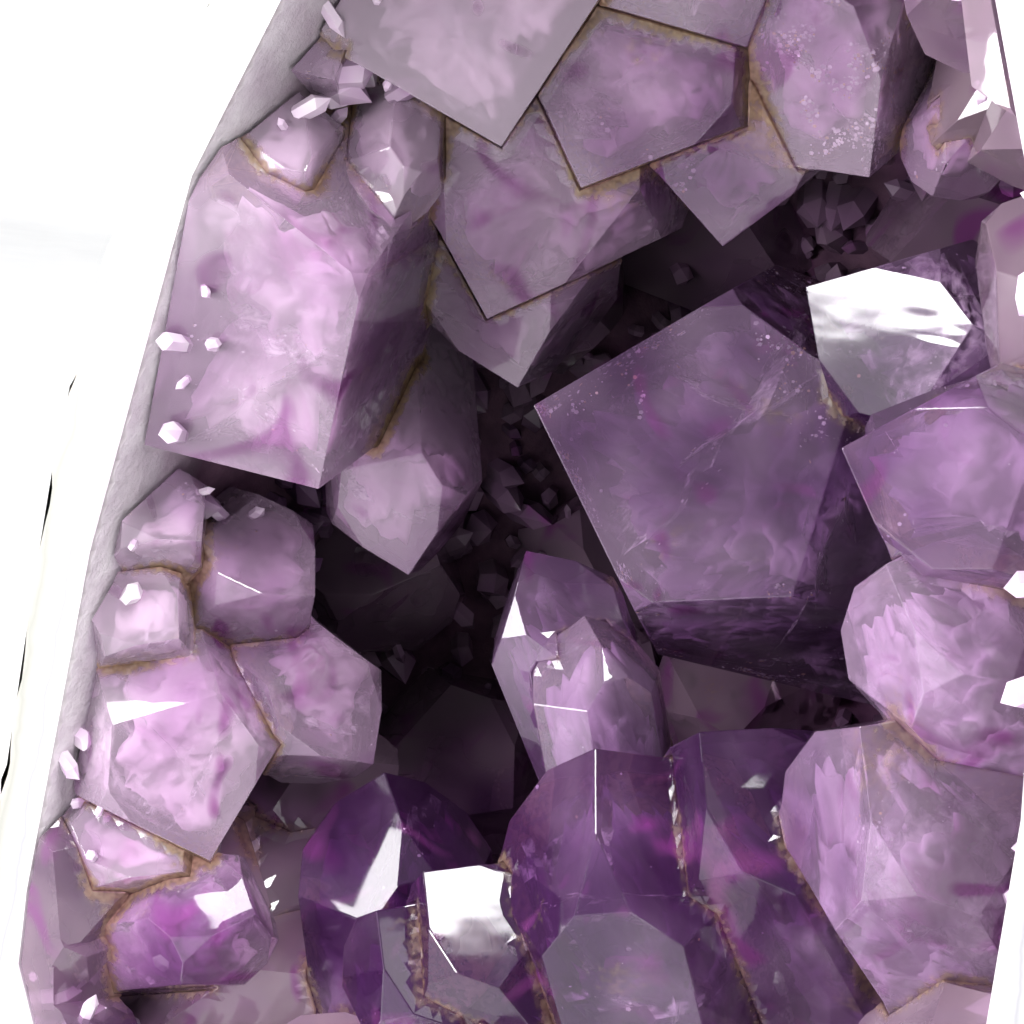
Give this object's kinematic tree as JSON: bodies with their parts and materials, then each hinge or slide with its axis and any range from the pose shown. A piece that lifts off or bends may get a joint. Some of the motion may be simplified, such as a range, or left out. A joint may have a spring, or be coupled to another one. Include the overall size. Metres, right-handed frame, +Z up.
{
  "type": "amethyst geode",
  "caption": "Small free-standing amethyst geode, sawn flat in front and underneath, with a hollow lined with large violet quartz points.",
  "frame": {"origin": "under the middle of the rock, on the surface it stands on", "axes": "+Z up, the sawn open front faces -Y"},
  "size_m": [0.114, 0.0814, 0.1525],
  "materials": {
    "rock": "matte",
    "amethyst_pale": "gloss",
    "amethyst_deep": "gloss",
    "amethyst_lining": "gloss",
    "druse": "gloss"
  },
  "bodies": {
    "root": {"floor_crystal_behind": "amethyst_deep", "floor_crystal_column": "amethyst_deep", "floor_crystal_front": "amethyst_deep", "floor_crystal_large": "amethyst_deep", "floor_crystal_left": "amethyst_deep", "floor_crystal_right": "amethyst_deep", "floor_crystal_sharp": "amethyst_deep", "floor_crystal_small": "amethyst_deep", "left_crystal_bright": "amethyst_pale", "left_crystal_deep": "amethyst_pale", "left_crystal_foot": "amethyst_pale", "left_crystal_largest": "amethyst_pale", "left_crystal_lower": "amethyst_pale", "left_crystal_milky": "amethyst_pale", "left_crystal_rim_lower": "amethyst_pale", "left_crystal_rim_upper": "amethyst_pale", "left_crystal_upper": "amethyst_pale", "lining_cluster_01": "amethyst_lining", "lining_cluster_02": "amethyst_lining", "lining_cluster_03": "amethyst_lining", "lining_cluster_04": "amethyst_lining", "lining_cluster_05": "amethyst_lining", "lining_cluster_06": "amethyst_lining", "lining_cluster_07": "amethyst_lining", "lining_cluster_08": "amethyst_lining", "lining_cluster_09": "amethyst_lining", "lining_cluster_10": "amethyst_lining", "lining_cluster_11": "amethyst_lining", "lining_cluster_12": "amethyst_lining", "lining_cluster_13": "amethyst_lining", "lining_cluster_14": "amethyst_lining", "lining_cluster_15": "amethyst_lining", "lining_cluster_16": "amethyst_lining", "lining_cluster_17": "amethyst_lining", "lining_cluster_18": "amethyst_lining", "lining_cluster_19": "amethyst_lining", "right_crystal_edge": "amethyst_deep", "right_crystal_front": "amethyst_deep", "right_crystal_largest": "amethyst_deep", "right_crystal_middle": "amethyst_deep", "right_crystal_near": "amethyst_deep", "right_crystal_upper": "amethyst_deep", "rim_cluster_01": "amethyst_lining", "rim_cluster_02": "amethyst_lining", "rim_cluster_03": "amethyst_lining", "rim_cluster_04": "amethyst_lining", "rim_cluster_05": "amethyst_lining", "rock_shell": "rock", "roof_crystal_dark": "amethyst_pale", "roof_crystal_hexagon": "amethyst_pale", "roof_crystal_high": "amethyst_pale", "roof_crystal_largest": "amethyst_pale", "roof_crystal_low": "amethyst_pale", "roof_crystal_middle": "amethyst_pale", "roof_crystal_rim": "amethyst_pale", "roof_crystal_shaded": "amethyst_pale", "roof_crystal_small": "amethyst_pale", "roof_crystal_speckled": "amethyst_pale", "roof_crystal_violet": "amethyst_pale"}
  },
  "joints": []
}
